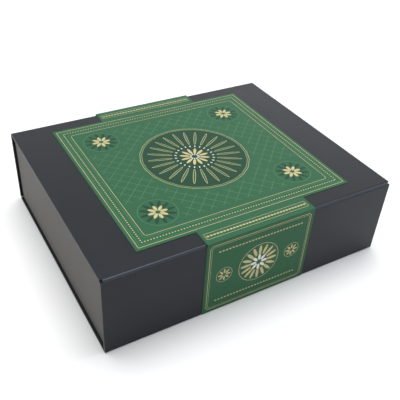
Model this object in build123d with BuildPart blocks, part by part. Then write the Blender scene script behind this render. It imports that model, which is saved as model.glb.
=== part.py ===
from build123d import *
from math import cos, pi, sin, sqrt
import os

# Acrylic paint set in a book-style rigid box with a magnetic front flap.
# Millimetres. +X runs right along the front, +Y to the back, +Z up.
# The origin is under the middle of the box, on the table.

# Case of four paper-covered boards
case_w = 360.0              # along X
case_d = 290.0              # over the flap and the spine
case_h = 100.0              # over the base and the lid
board_t = 2.4               # grey board in every panel
paper_t = 0.2               # cover paper and lining paper
groove = 3.0                # every board stops this far from a hinged corner
groove_recess = 0.6         # the hinge paper lies this far inside the faces
edge_r = 0.5                # softened edges of the cover paper
liner_margin = 3.0          # cover paper left showing round a lining
flap_foot_gap = 0.5         # the flap hangs clear of the table
lid_gap = 0.3               # lid to tray rim
flap_gap = 0.4              # flap to tray front
panel_t = board_t + 2 * paper_t

# Printed card band round the middle of the case
band_t = 0.35
band_square_w = 268.0       # the wide part on the lid and under the base
band_square_d = 246.0
band_strip_w = 136.0        # the narrow part over the front and the back
band_crease_gap = 0.7       # the band's lid and base panels stop short of a crease
band_corner_r = 0.6

# Tray glued to the base and the spine
side_overhang = 3.0         # base, lid, flap and spine stand out past the tray
tray_t = 2.0                # folded grey board
tray_corner_r = 1.5

# Magnets in the flap and steel catches in the tray
magnet_r = 6.0
magnet_t = 1.5
catch_t = 1.0
magnet_pitch = 220.0        # between the two magnets
magnet_height = 32.0        # above the case's underside

# Stretched canvases under the insert
canvas_w = 300.0
canvas_d = 240.0
bar_w = 34.0                # width of a stretcher bar
bar_t = 17.0
cloth_t = 0.6
cloth_fold = 22.0           # canvas folded on to the back of the bars
mitre_gap = 0.15
canvas_count = 2

# Painting pad on the canvases
pad_w = 280.0
pad_d = 200.0
pad_back_t = 1.5
pad_sheets_t = 6.5
pad_sheet_inset = 0.8

# Thermoformed insert
insert_gap = 0.4            # insert to tray wrap
sheet_t = 0.8               # formed plastic sheet
insert_h = 28.0             # from the pad to the rim
insert_r = 4.0
draft = 3.0                 # degrees
lie_gap = 0.3               # a piece lies this far above its well

# Paint tubes
tube_count = 6
tube_pitch = 56.0
tube_r = 16.0
tube_len = 122.0            # shoulder to crimp
oval_tolerance = 0.002
crimp_t = 1.6
crimp_h = 8.0
shoulder_h = 6.0
shoulder_rim_h = 1.6
neck_r = 6.5
neck_h = 9.0
nozzle_r = 2.2
nozzle_depth = 5.0
tube_back_gap = 2.0         # crimp to the end of the well
tube_side_gap = 1.0

# Screw caps
cap_sides = 12
cap_r = 11.0                # across the flats, at the rim
cap_tip_r = 9.6
cap_h = 17.0
cap_seat_gap = 0.3          # rim to shoulder
cap_thread_gap = 0.05
cap_top_gap = 0.5           # neck to the end of the bore
cap_end_gap = 1.2           # cap to the end of the well
cap_edge = 0.8

# Brushes
brush_handle_len = 170.0
brush_swell_r = 4.5
brush_tail_r = 2.2
brush_neck_r = 3.2
brush_swell_at = 0.68       # share of the handle from the tail to the swell
ferrule_len = 30.0
ferrule_wall = 0.3
ferrule_grip = 12.0         # handle inside the ferrule
bristle_len = 22.0
brush_widths = [6.4, 12.0, 18.0]
brush_pitch = 28.0
brush_side_gap = 2.5
brush_thick = 4.2           # flat ferrules at the bristles
oval_sides = 16
bristle_inset = 2.0         # bristles inside the ferrule
bristle_gap = 0.03
bristle_swell = 0.4
bristle_tip_share = 0.7
bristle_tip_half_h = 0.5
brush_well_depth = 17.0

# Palette knife
knife_handle_len = 95.0
knife_handle_r = 6.0
knife_waist_r = 4.6
knife_collar_r = 4.2
knife_tang_depth = 16.0     # tang inside the handle
knife_tang_r = 1.6
knife_crank = 9.0           # the blade lies this far below the handle
knife_crank_run = 26.0
knife_blade_len = 78.0
knife_blade_w = 20.0
knife_blade_t = 0.8
knife_belly_share = 0.75
knife_well_w = 26.0

# Mixing palette
palette_w = 100.0
palette_d = 112.0
palette_h = 9.0
palette_r = 8.0
palette_wall = 1.4
palette_cup_r = 12.0
palette_cup_depth = 6.0
palette_mix_d = 44.0
palette_mix_depth = 4.0
palette_rim = 4.0
palette_edge = 0.8
palette_columns = 3
palette_rows = 2
palette_gap = 1.5
palette_well_depth = 8.0

# Finger channels across the wells
tube_channel_w = 30.0
tube_channel_depth = 16.0
brush_channel_w = 44.0
tube_channel_at = 46.0      # behind the shoulders
brush_channel_at = 66.0     # right of the brushes' tails
palette_notch_r = 13.0
palette_notch_depth = 16.0
well_r = 5.0
well_corner_r = 2.5
well_margin = 4.0           # rim of the insert outside the wells

# Levels and faces that follow from the sizes above
case_bottom = band_t
case_top = case_bottom + case_h
front_y = -case_d / 2
back_y = case_d / 2
lid_edge_y = case_d / 2 - groove
tray_front_y = front_y + panel_t + flap_gap
tray_back_y = back_y - panel_t
tray_w = case_w - 2 * side_overhang
tray_d = tray_back_y - tray_front_y
tray_y = (tray_back_y + tray_front_y) / 2
tray_z = case_bottom + panel_t
tray_top = case_top - panel_t - lid_gap
tray_wall = tray_t + 2 * paper_t
room_w = tray_w - 2 * tray_wall
room_d = tray_d - 2 * tray_wall
room_front_y = tray_front_y + tray_wall
room_back_y = tray_back_y - tray_wall
room_z = tray_z + tray_t
canvas_t = bar_t + 2 * cloth_t
pad_z = room_z + canvas_count * canvas_t
insert_z = pad_z + pad_back_t + pad_sheets_t
insert_top = insert_z + insert_h
tube_z = insert_z + sheet_t + lie_gap + tube_r
crimp_y = room_back_y - insert_gap - well_margin - tube_back_gap
shoulder_y = crimp_y - tube_len
neck_y = shoulder_y - shoulder_h
cap_y = neck_y - cap_seat_gap
cap_front_y = cap_y - cap_h
magnet_z = case_bottom + magnet_height
tube_xs = [(i - (tube_count - 1) / 2) * tube_pitch for i in range(tube_count)]

os.makedirs("parts", exist_ok=True)


def tray_level(z):
    """Level plane with its origin over the middle of the tray."""
    return Plane(origin=(0, tray_y, z), x_dir=(1, 0, 0), z_dir=(0, 0, 1))


def write(part, name):
    """Label a finished piece and write it to its own file."""
    part.label = name
    export_step(part, f"parts/{name}.step")


# Outer faces of the four panels, with the normal pointing out of the box
lid_face = Plane(origin=(0, 0, case_top), x_dir=(1, 0, 0), z_dir=(0, 0, 1))
base_d = lid_edge_y - tray_front_y
base_y = (lid_edge_y + tray_front_y) / 2
base_face = Plane(origin=(0, base_y, case_bottom), x_dir=(1, 0, 0), z_dir=(0, 0, -1))
spine_h = case_h - 2 * groove
spine_z = case_bottom + case_h / 2
spine_face = Plane(origin=(0, back_y, spine_z), x_dir=(1, 0, 0), z_dir=(0, 1, 0))
flap_h = case_h - groove - flap_foot_gap
flap_z = case_bottom + flap_foot_gap + flap_h / 2
flap_face = Plane(origin=(0, front_y, flap_z), x_dir=(1, 0, 0), z_dir=(0, -1, 0))


def panel_board(face, length):
    """Grey board inside a covered panel."""
    with BuildPart() as board:
        with BuildSketch(face.offset(-paper_t)):
            Rectangle(case_w - 2 * paper_t, length - 2 * paper_t)
        extrude(amount=-board_t)
    return board.part


def panel_cover(face, length, lined):
    """Cover paper round the outer face and the edges of a board."""
    with BuildPart() as cover:
        with BuildSketch(face):
            Rectangle(case_w, length)
        extrude(amount=-panel_t)
        outer = cover.faces().sort_by(Axis(face.origin, face.z_dir))[-1]
        fillet(outer.edges(), edge_r)
        add(panel_board(face, length), mode=Mode.SUBTRACT)
        if lined:
            with BuildSketch(face.offset(-panel_t)):
                Rectangle(case_w - 2 * liner_margin, length - 2 * liner_margin)
            extrude(amount=paper_t, mode=Mode.SUBTRACT)
    return cover.part


def panel_liner(face, length):
    """Lining paper let into the turned-in cover paper."""
    with BuildPart() as liner:
        with BuildSketch(face.offset(-panel_t)):
            Rectangle(case_w - 2 * liner_margin, length - 2 * liner_margin)
        extrude(amount=paper_t)
    return liner.part


# Boards, cover papers and linings
lid_d = 2 * lid_edge_y
write(panel_board(base_face, base_d), "base_board")
write(panel_board(spine_face, spine_h), "spine_board")
write(panel_board(lid_face, lid_d), "lid_board")
write(panel_cover(base_face, base_d, False), "base_cover")
write(panel_cover(spine_face, spine_h, False), "spine_cover")
write(panel_cover(lid_face, lid_d, True), "lid_cover")
write(panel_cover(flap_face, flap_h, True), "flap_cover")
write(panel_liner(lid_face, lid_d), "lid_liner")
write(panel_liner(flap_face, flap_h), "flap_liner")

# Magnets in the flap, and the steel catches that face them in the tray
magnet_face = Plane(origin=(0, front_y + paper_t + board_t, magnet_z), x_dir=(1, 0, 0), z_dir=(0, 1, 0))
catch_face = Plane(origin=(0, tray_front_y + paper_t, magnet_z), x_dir=(1, 0, 0), z_dir=(0, -1, 0))


def disc_pair(face, depth):
    """Two discs sunk into a face."""
    with BuildPart() as discs:
        with BuildSketch(face):
            with GridLocations(magnet_pitch, 0, 2, 1):
                Circle(magnet_r)
        extrude(amount=-depth)
    return discs.part


flap_magnets = disc_pair(magnet_face, magnet_t)
catch_plates = disc_pair(catch_face, catch_t)
write(flap_magnets, "flap_magnets")
write(catch_plates, "catch_plates")
write(panel_board(flap_face, flap_h) - flap_magnets, "flap_board")

# Hinge paper, a quarter roll between two board edges
roll_r = groove - groove_recess
roll_t = 2 * paper_t


def hinge_roll(y, z, side, up):
    """Paper roll about a corner line; side and up say which way it bulges."""
    section = Plane(origin=(-tray_w / 2, y, z), x_dir=(0, side, 0), z_dir=(1, 0, 0))
    with BuildPart() as roll:
        with BuildSketch(section):
            Circle(roll_r)
            Circle(roll_r - roll_t, mode=Mode.SUBTRACT)
            with Locations((roll_r, up * side * roll_r)):
                Rectangle(2 * roll_r, 2 * roll_r, mode=Mode.INTERSECT)
        extrude(amount=tray_w)
    return roll.part


write(hinge_roll(-lid_edge_y, case_top - groove, -1, 1), "flap_hinge")
write(hinge_roll(lid_edge_y, case_top - groove, 1, 1), "lid_hinge")
write(hinge_roll(lid_edge_y, case_bottom + groove, 1, -1), "base_hinge")

# Tray of one folded board
with BuildPart() as tray_board:
    with BuildSketch(tray_level(tray_z)):
        RectangleRounded(tray_w - 2 * paper_t, tray_d - 2 * paper_t, tray_corner_r)
    extrude(amount=tray_top - paper_t - tray_z)
    with BuildSketch(tray_level(room_z)):
        Rectangle(room_w + 2 * paper_t, room_d + 2 * paper_t)
    extrude(amount=case_h, mode=Mode.SUBTRACT)
    add(catch_plates, mode=Mode.SUBTRACT)
write(tray_board.part, "tray_board")

# Wrapping paper outside, over the rim and down the inside
with BuildPart() as tray_wrap:
    with BuildSketch(tray_level(tray_z)):
        RectangleRounded(tray_w, tray_d, tray_corner_r + paper_t)
    extrude(amount=tray_top - tray_z)
    with BuildSketch(tray_level(tray_z)):
        Rectangle(room_w, room_d)
    extrude(amount=case_h, mode=Mode.SUBTRACT)
    add(tray_board.part, mode=Mode.SUBTRACT)
    add(catch_plates, mode=Mode.SUBTRACT)
write(tray_wrap.part, "tray_wrap")


def band_panel(face, length, reach, middle):
    """Wide square of the band with a narrow strip running on to both creases."""
    with BuildPart() as panel:
        with BuildSketch(face):
            with Locations((0, middle)):
                Rectangle(band_square_w, band_square_d)
            Rectangle(band_strip_w, length - 2 * reach)
        extrude(amount=band_t)
        corners = panel.edges().filter_by(Axis.Z).filter_by(
            lambda e: abs(abs(e.center().X) - band_square_w / 2) < band_corner_r
        )
        fillet(corners, band_corner_r)
    return panel.part


# Printed band, one card panel on each board
under_face = Plane(origin=(0, 0, case_bottom), x_dir=(1, 0, 0), z_dir=(0, 0, -1))
write(band_panel(lid_face, case_d, band_crease_gap, 0), "lid_band")
write(band_panel(under_face, case_d, band_crease_gap, 0), "base_band")

with BuildPart() as flap_band:
    flap_band_h = case_h - flap_foot_gap
    flap_band_z = case_bottom + flap_foot_gap + flap_band_h / 2
    with BuildSketch(Plane(origin=(0, front_y, flap_band_z), x_dir=(1, 0, 0), z_dir=(0, -1, 0))):
        Rectangle(band_strip_w, flap_band_h)
    extrude(amount=band_t)
write(flap_band.part, "flap_band")

with BuildPart() as spine_band:
    with BuildSketch(spine_face):
        Rectangle(band_strip_w, case_h - 2 * band_crease_gap)
    extrude(amount=band_t)
write(spine_band.part, "spine_band")


def stretcher_bars(z):
    """Four mitred bars of a canvas frame."""
    half_w = canvas_w / 2 - cloth_t
    half_d = canvas_d / 2 - cloth_t
    gap = mitre_gap / sqrt(2)
    with BuildPart() as bars:
        with BuildSketch(tray_level(z + cloth_t)):
            with BuildLine():
                Polyline(
                    (gap - half_w, -half_d),
                    (half_w - gap, -half_d),
                    (half_w - bar_w - gap, bar_w - half_d),
                    (bar_w - half_w + gap, bar_w - half_d),
                    close=True,
                )
            make_face()
            with BuildLine():
                Polyline(
                    (half_w, gap - half_d),
                    (half_w, half_d - gap),
                    (half_w - bar_w, half_d - bar_w - gap),
                    (half_w - bar_w, bar_w - half_d + gap),
                    close=True,
                )
            make_face()
        extrude(amount=bar_t)
        mirror(about=Plane.XZ.offset(-tray_y))
        mirror(about=Plane.YZ)
    return bars.part


def canvas_cloth(z):
    """Canvas stretched over the bars and folded on to their back."""
    with BuildPart() as cloth:
        with BuildSketch(tray_level(z)):
            Rectangle(canvas_w, canvas_d)
        extrude(amount=canvas_t)
        with BuildSketch(tray_level(z + cloth_t)):
            Rectangle(canvas_w - 2 * cloth_t, canvas_d - 2 * cloth_t)
        extrude(amount=bar_t, mode=Mode.SUBTRACT)
        with BuildSketch(tray_level(z)):
            Rectangle(canvas_w - 2 * cloth_fold, canvas_d - 2 * cloth_fold)
        extrude(amount=cloth_t, mode=Mode.SUBTRACT)
    return cloth.part


# Canvases lie face up, one on the other
for number in range(canvas_count):
    level = room_z + number * canvas_t
    write(stretcher_bars(level), f"canvas_{number + 1}_bars")
    write(canvas_cloth(level), f"canvas_{number + 1}_cloth")

# Painting pad
with BuildPart() as pad_back:
    with BuildSketch(tray_level(pad_z)):
        Rectangle(pad_w, pad_d)
    extrude(amount=pad_back_t)
write(pad_back.part, "pad_back")

with BuildPart() as pad_sheets:
    with BuildSketch(tray_level(pad_z + pad_back_t)):
        Rectangle(pad_w - 2 * pad_sheet_inset, pad_d - 2 * pad_sheet_inset)
    extrude(amount=pad_sheets_t)
write(pad_sheets.part, "pad_sheets")


def girth(half_w, half_h):
    """Girth of an ellipse, after Ramanujan."""
    return pi * (3 * (half_w + half_h) - sqrt((3 * half_w + half_h) * (half_w + 3 * half_h)))


def half_height(half_w):
    """Half height of the tube's oval where it has this half width."""
    low, high = crimp_t / 2, tube_r
    while high - low > oval_tolerance:
        middle = (low + high) / 2
        if girth(half_w, middle) > 2 * pi * tube_r:
            high = middle
        else:
            low = middle
    return low


# Stations of a tube from the shoulder to the crimp: share of the length, share of the widening
tube_stations = [(0, 0), (0.4, 0.1), (0.8, 0.62), (1, 1)]
crimp_half_w = pi * tube_r / 2


def along(x, y, z):
    """Plane across a piece that lies along Y, facing the back."""
    return Plane(origin=(x, y, z), x_dir=(1, 0, 0), z_dir=(0, 1, 0))


def tube_body(x):
    """Filled laminate tube: threaded neck, shoulder, oval body and folded crimp."""
    with BuildPart() as body:
        for share, widening in tube_stations:
            half_w = tube_r + widening * (crimp_half_w - tube_r)
            with BuildSketch(along(x, shoulder_y + share * (tube_len - crimp_h), tube_z)):
                if widening == 0:
                    Circle(tube_r)
                else:
                    Ellipse(half_w, max(half_height(half_w), crimp_t / 2))
        loft(ruled=True)
        with BuildSketch(along(x, crimp_y - crimp_h - crimp_t / 2, tube_z)):
            Rectangle(2 * crimp_half_w, crimp_t)
        extrude(amount=crimp_h + crimp_t / 2)
        with BuildSketch(along(x, shoulder_y, tube_z)):
            Circle(tube_r)
        extrude(amount=-shoulder_rim_h)
        with BuildSketch(along(x, shoulder_y - shoulder_rim_h, tube_z)):
            Circle(tube_r - shoulder_rim_h)
        with BuildSketch(along(x, neck_y, tube_z)):
            Circle(neck_r + shoulder_rim_h)
        loft()
        with BuildSketch(along(x, neck_y, tube_z)):
            Circle(neck_r)
        extrude(amount=-neck_h)
        with BuildSketch(along(x, neck_y - neck_h, tube_z)):
            Circle(nozzle_r)
        extrude(amount=nozzle_depth, mode=Mode.SUBTRACT)
    return body.part


def tube_cap(x):
    """Screw cap: many-sided grip, softened end and a bore for the neck."""
    with BuildPart() as cap:
        with BuildSketch(along(x, cap_y, tube_z)):
            RegularPolygon(cap_r, cap_sides, major_radius=False)
        with BuildSketch(along(x, cap_front_y, tube_z)):
            RegularPolygon(cap_tip_r, cap_sides, major_radius=False)
        loft()
        chamfer(cap.faces().sort_by(Axis.Y)[0].edges(), cap_edge)
        with BuildSketch(along(x, cap_y, tube_z)):
            Circle(neck_r + cap_thread_gap)
        extrude(amount=-(neck_h - cap_seat_gap + cap_top_gap), mode=Mode.SUBTRACT)
    return cap.part


for number, tube_x in enumerate(tube_xs, start=1):
    write(tube_body(tube_x), f"tube_{number}")
    write(tube_cap(tube_x), f"cap_{number}")

# Brushes lie along X in front of the tubes, tails to the left
brush_left = -room_w / 2 + insert_gap + well_margin + brush_side_gap
brush_y = cap_front_y - cap_end_gap - well_margin - brush_pitch / 2 - sheet_t
brush_z = insert_top - brush_well_depth + lie_gap + brush_swell_r
brush_ys = [brush_y - i * brush_pitch for i in range(len(brush_widths))]
ferrule_x = brush_left + brush_handle_len - ferrule_grip
bristle_x = ferrule_x + ferrule_len
brush_right = bristle_x + bristle_len


def across(x, y, z):
    """Plane across a piece that lies along X, facing right."""
    return Plane(origin=(x, y, z), x_dir=(0, 1, 0), z_dir=(1, 0, 0))


def brush_handle(y):
    """Turned wooden handle, swelling towards the ferrule."""
    grip_r = (brush_neck_r - ferrule_wall) * cos(pi / oval_sides)
    neck_x = brush_handle_len - ferrule_grip
    swell_x = brush_swell_at * neck_x
    pull = (neck_x - swell_x) / 2
    with BuildPart() as handle:
        with BuildSketch(Plane(origin=(brush_left, y, brush_z), x_dir=(1, 0, 0), z_dir=(0, 0, 1))):
            with BuildLine():
                tail = RadiusArc((0, 0), (brush_tail_r, brush_tail_r), brush_tail_r)
                belly = Bezier(
                    tail @ 1,
                    (brush_tail_r + pull, brush_tail_r),
                    (swell_x - pull, brush_swell_r),
                    (swell_x, brush_swell_r),
                )
                neck = Bezier(
                    belly @ 1,
                    (swell_x + pull, brush_swell_r),
                    (neck_x - pull, brush_neck_r),
                    (neck_x, brush_neck_r),
                )
                Polyline(
                    neck @ 1,
                    (neck_x, grip_r),
                    (brush_handle_len, grip_r),
                    (brush_handle_len, 0),
                    tail @ 0,
                )
            make_face()
        revolve(axis=Axis((brush_left, y, brush_z), (1, 0, 0)))
    return handle.part


def oval(half_w, half_h):
    """Many-sided oval, drawn on the plane in hand."""
    turns = [2 * pi * i / oval_sides for i in range(oval_sides)]
    Polygon(*[(half_w * cos(turn), half_h * sin(turn)) for turn in turns], align=None)


def flat_size(width, share, wall):
    """Half width and half height of a ferrule part way from its round to its flat end."""
    half_w = brush_neck_r + share * (width / 2 - brush_neck_r)
    half_h = brush_neck_r + share * (min(width, brush_thick) / 2 - brush_neck_r)
    return half_w - wall, half_h - wall


def ferrule_solid(y, width, wall):
    """Round to flat sleeve, drawn in by the wall."""
    with BuildPart() as sleeve:
        for share in (0, 1):
            with BuildSketch(across(ferrule_x + share * ferrule_grip, y, brush_z)):
                oval(brush_neck_r - wall, brush_neck_r - wall)
        with BuildSketch(across(bristle_x, y, brush_z)):
            oval(*flat_size(width, 1, wall))
        loft(ruled=True)
    return sleeve.part


def brush_ferrule(y, width):
    """Thin metal sleeve that grips the handle and the bristles."""
    with BuildPart() as ferrule:
        add(ferrule_solid(y, width, 0))
        add(ferrule_solid(y, width, ferrule_wall), mode=Mode.SUBTRACT)
    return ferrule.part


def brush_bristles(y, width):
    """Tuft from inside the ferrule to a thin edge."""
    root = 1 - bristle_inset / (ferrule_len - ferrule_grip)
    half_w, half_h = flat_size(width, 1, ferrule_wall + bristle_gap)
    with BuildPart() as bristles:
        with BuildSketch(across(bristle_x - bristle_inset, y, brush_z)):
            oval(*flat_size(width, root, ferrule_wall + bristle_gap))
        with BuildSketch(across(bristle_x, y, brush_z)):
            oval(half_w, half_h)
        with BuildSketch(across(bristle_x + bristle_len / 2, y, brush_z)):
            oval(half_w + bristle_swell, half_h - bristle_swell)
        with BuildSketch(across(brush_right, y, brush_z)):
            oval(half_w * bristle_tip_share, bristle_tip_half_h)
        loft(ruled=True)
    return bristles.part


for number, (y, width) in enumerate(zip(brush_ys, brush_widths), start=1):
    write(brush_handle(y), f"brush_{number}_handle")
    write(brush_ferrule(y, width), f"brush_{number}_ferrule")
    write(brush_bristles(y, width), f"brush_{number}_bristles")

# Palette knife in front of the brushes, blade to the right
knife_y = brush_ys[-1] - (brush_pitch + knife_well_w) / 2
knife_left = brush_left
knife_z = insert_top - brush_well_depth + lie_gap + knife_handle_r
tang_x = knife_left + knife_handle_len
blade_z = knife_z - knife_crank
knife_drop = knife_crank + knife_tang_r - knife_handle_r
blade_x = tang_x + knife_crank_run

with BuildPart() as knife_handle:
    with BuildSketch(Plane(origin=(knife_left, knife_y, knife_z), x_dir=(1, 0, 0), z_dir=(0, 0, 1))):
        with BuildLine():
            butt = RadiusArc((0, 0), (knife_handle_r, knife_handle_r), knife_handle_r)
            grip = Bezier(
                butt @ 1,
                (knife_handle_len / 3, knife_handle_r),
                (knife_handle_len / 2, knife_waist_r),
                (knife_handle_len, knife_collar_r),
            )
            Polyline(grip @ 1, (knife_handle_len, 0), butt @ 0)
        make_face()
    revolve(axis=Axis((knife_left, knife_y, knife_z), (1, 0, 0)))
    with BuildSketch(across(tang_x, knife_y, knife_z)):
        Circle(knife_tang_r)
    extrude(amount=-knife_tang_depth, mode=Mode.SUBTRACT)
write(knife_handle.part, "knife_handle")

with BuildPart() as knife_blade:
    with BuildLine() as tang_path:
        FilletPolyline(
            (tang_x - knife_tang_depth, knife_y, knife_z),
            (tang_x + knife_crank_run / 3, knife_y, knife_z),
            (tang_x + 2 * knife_crank_run / 3, knife_y, blade_z),
            (blade_x + knife_blade_t, knife_y, blade_z),
            radius=3 * knife_tang_r,
        )
    with BuildSketch(across(tang_x - knife_tang_depth, knife_y, knife_z)):
        Circle(knife_tang_r)
    sweep()
    with BuildSketch(Plane(origin=(blade_x, knife_y, blade_z - knife_blade_t / 2), z_dir=(0, 0, 1))):
        with BuildLine():
            edge = Bezier(
                (0, knife_tang_r),
                (knife_blade_len / 4, knife_blade_w / 2),
                (knife_blade_len / 2, knife_belly_share * knife_blade_w),
                (knife_blade_len, 0),
            )
            mirror(edge, about=Plane.XZ)
            Line((0, knife_tang_r), (0, -knife_tang_r))
        make_face()
    extrude(amount=knife_blade_t)
write(knife_blade.part, "knife_blade")

# Mixing palette to the right of the brushes
palette_x = room_w / 2 - insert_gap - well_margin - palette_gap - palette_w / 2
palette_y = room_front_y + insert_gap + well_margin + palette_gap + palette_d / 2
palette_z = insert_top - palette_well_depth + lie_gap
palette_top = Plane(origin=(palette_x, palette_y, palette_z + palette_h))


def palette_pockets(grow):
    """Mixing area and cups, grown by the wall on their inner side."""
    with BuildPart() as pockets:
        with BuildSketch(palette_top):
            with Locations((0, (palette_d - palette_mix_d) / 2 - palette_rim)):
                RectangleRounded(
                    palette_w - 2 * palette_rim + 2 * grow,
                    palette_mix_d + 2 * grow,
                    palette_r - palette_rim / 2 + grow,
                )
        extrude(amount=-(palette_mix_depth + grow), taper=draft)
        with BuildSketch(palette_top):
            with Locations((0, -(palette_mix_d + palette_rim) / 2)):
                pitch_x = (palette_w - 2 * palette_rim) / palette_columns
                pitch_y = (palette_d - palette_mix_d - 3 * palette_rim) / palette_rows
                with GridLocations(pitch_x, pitch_y, palette_columns, palette_rows):
                    Circle(palette_cup_r + grow)
        extrude(amount=-(palette_cup_depth + grow), taper=2 * draft)
    return pockets.part


with BuildPart() as palette:
    with BuildSketch(palette_top):
        RectangleRounded(palette_w, palette_d, palette_r)
    extrude(amount=-palette_h)
    chamfer(palette.faces().sort_by(Axis.Z)[-1].edges(), palette_edge)
    add(palette_pockets(0), mode=Mode.SUBTRACT)
    with BuildPart(mode=Mode.PRIVATE) as under_palette:
        with BuildSketch(palette_top.offset(-palette_wall)):
            RectangleRounded(
                palette_w - 2 * palette_wall, palette_d - 2 * palette_wall, palette_r - palette_wall
            )
        extrude(amount=-palette_h)
        add(palette_pockets(palette_wall), mode=Mode.SUBTRACT)
    add(under_palette.part, mode=Mode.SUBTRACT)
write(palette.part, "palette")

# Outlines of the insert's wells, on its top face
insert_full = insert_h - sheet_t
brush_well_len = brush_right - brush_left + 2 * brush_side_gap
brush_well_x = (brush_left + brush_right) / 2
knife_right = blade_x + knife_blade_len
knife_x = (knife_left + knife_right) / 2
tube_channel_y = shoulder_y + tube_channel_at
channel_x = brush_left + brush_channel_at
channel_back_y = brush_ys[0] + brush_swell_r + brush_side_gap
channel_front_y = knife_y - knife_well_w / 2
brush_channel_len = channel_back_y - channel_front_y
channel_y = (channel_back_y + channel_front_y) / 2


def tube_well(x, grow):
    """Outline round a tube: wide at the crimp, narrow at the cap."""
    side = tube_side_gap
    with BuildSketch(Plane(origin=(x, 0, insert_top))) as outline:
        with BuildLine():
            half = Polyline(
                (0, crimp_y + tube_back_gap),
                (crimp_half_w + side, crimp_y + tube_back_gap),
                (crimp_half_w + side, crimp_y - crimp_h),
                (tube_r + side, shoulder_y - shoulder_rim_h - side),
                (cap_r + side, neck_y - side),
                (cap_r + side, cap_front_y - cap_end_gap),
                (0, cap_front_y - cap_end_gap),
            )
            mirror(half, about=Plane.YZ)
        make_face()
        ends = outline.vertices().group_by(Axis.Y)
        chamfer(ends[0] + ends[-1], well_corner_r)
        if grow:
            offset(amount=grow)
    return outline.sketch


def well(x, y, length, width, depth, grow, corner_r=well_r):
    """Drafted pocket below the insert's top face, grown by the sheet."""
    with BuildPart() as pocket:
        with BuildSketch(Plane(origin=(x, y, insert_top))):
            RectangleRounded(length + 2 * grow, width + 2 * grow, corner_r + grow)
        extrude(amount=-(depth + grow), taper=draft)
    return pocket.part


def wells(grow):
    """Every well of the insert as one solid, grown by the sheet on its inner side."""
    tube_channel_len = (tube_count - 1) * tube_pitch + 2 * (tube_r + tube_side_gap + well_r)
    knife_len = knife_right - knife_left + 2 * brush_side_gap
    blade_len = knife_right + brush_side_gap - tang_x
    blade_depth = brush_well_depth + knife_drop
    palette_well_w = palette_w + 2 * palette_gap
    palette_well_d = palette_d + 2 * palette_gap
    with BuildPart() as hollow:
        for x in tube_xs:
            extrude(tube_well(x, grow), amount=-(insert_full + grow), taper=draft)
        add(well(0, tube_channel_y, tube_channel_len, tube_channel_w, tube_channel_depth, grow))
        for y, width in zip(brush_ys, brush_widths):
            well_w = max(width, 2 * brush_swell_r) + 2 * brush_side_gap
            add(well(brush_well_x, y, brush_well_len, well_w, brush_well_depth, grow))
        add(well(knife_x, knife_y, knife_len, knife_well_w, brush_well_depth, grow))
        add(well(tang_x + blade_len / 2, knife_y, blade_len, knife_well_w, blade_depth, grow))
        add(well(channel_x, channel_y, brush_channel_w, brush_channel_len, insert_full, grow))
        palette_corner_r = palette_r + palette_gap
        add(
            well(
                palette_x, palette_y, palette_well_w, palette_well_d,
                palette_well_depth, grow, palette_corner_r,
            )
        )
        with BuildSketch(Plane(origin=(palette_x - palette_w / 2, palette_y, insert_top))):
            Circle(palette_notch_r + grow)
        extrude(amount=-(palette_notch_depth + grow), taper=draft)
    return hollow.part


# Thermoformed insert: a sheet of even thickness over every well
with BuildPart() as insert:
    with BuildSketch(tray_level(insert_z)):
        RectangleRounded(room_w - 2 * insert_gap, room_d - 2 * insert_gap, insert_r)
    extrude(amount=insert_h)
    chamfer(insert.faces().sort_by(Axis.Z)[-1].edges(), sheet_t / 2)
    add(wells(0), mode=Mode.SUBTRACT)
    with BuildPart(mode=Mode.PRIVATE) as underside:
        with BuildSketch(tray_level(insert_z)):
            shrink = 2 * (insert_gap + sheet_t)
            RectangleRounded(room_w - shrink, room_d - shrink, insert_r - sheet_t)
        extrude(amount=insert_h - sheet_t)
        add(wells(sheet_t), mode=Mode.SUBTRACT)
    add(underside.part, mode=Mode.SUBTRACT)
write(insert.part, "insert")
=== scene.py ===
# %% [markdown]
# # Dressing a boxed acrylic paint set
# The CAD model fixes every size and place, so this script loads it first and never moves it.
# Each step then gives one piece its finish, or stands a finer piece where a plain solid is.

import math

import bmesh
import bpy
from mathutils import Matrix, Vector


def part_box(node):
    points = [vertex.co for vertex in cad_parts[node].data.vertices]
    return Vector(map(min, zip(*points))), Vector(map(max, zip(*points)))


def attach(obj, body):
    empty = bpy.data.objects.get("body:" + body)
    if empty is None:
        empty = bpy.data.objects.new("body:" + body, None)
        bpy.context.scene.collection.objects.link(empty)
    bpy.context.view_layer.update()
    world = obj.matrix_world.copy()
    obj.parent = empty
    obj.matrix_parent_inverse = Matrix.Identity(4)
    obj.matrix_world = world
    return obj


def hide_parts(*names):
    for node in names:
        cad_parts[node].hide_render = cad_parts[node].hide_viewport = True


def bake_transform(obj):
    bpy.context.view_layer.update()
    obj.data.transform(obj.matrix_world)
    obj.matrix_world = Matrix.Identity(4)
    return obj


MM = 0.001
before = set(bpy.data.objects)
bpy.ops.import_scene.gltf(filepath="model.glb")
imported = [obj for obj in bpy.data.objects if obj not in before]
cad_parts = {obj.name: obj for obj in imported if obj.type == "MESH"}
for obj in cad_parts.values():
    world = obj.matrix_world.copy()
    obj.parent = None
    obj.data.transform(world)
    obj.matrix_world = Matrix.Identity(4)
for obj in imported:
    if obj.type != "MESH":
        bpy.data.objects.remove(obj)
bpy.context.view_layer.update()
scene = bpy.context.scene
scene.view_settings.view_transform = "Standard"

# %% [markdown]
# ## Camera
# A product picture is taken with a long lens from above one corner. The camera's place and its
# three axes come from the corners of the box, and the field of view follows from a 400 pixel frame.

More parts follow.
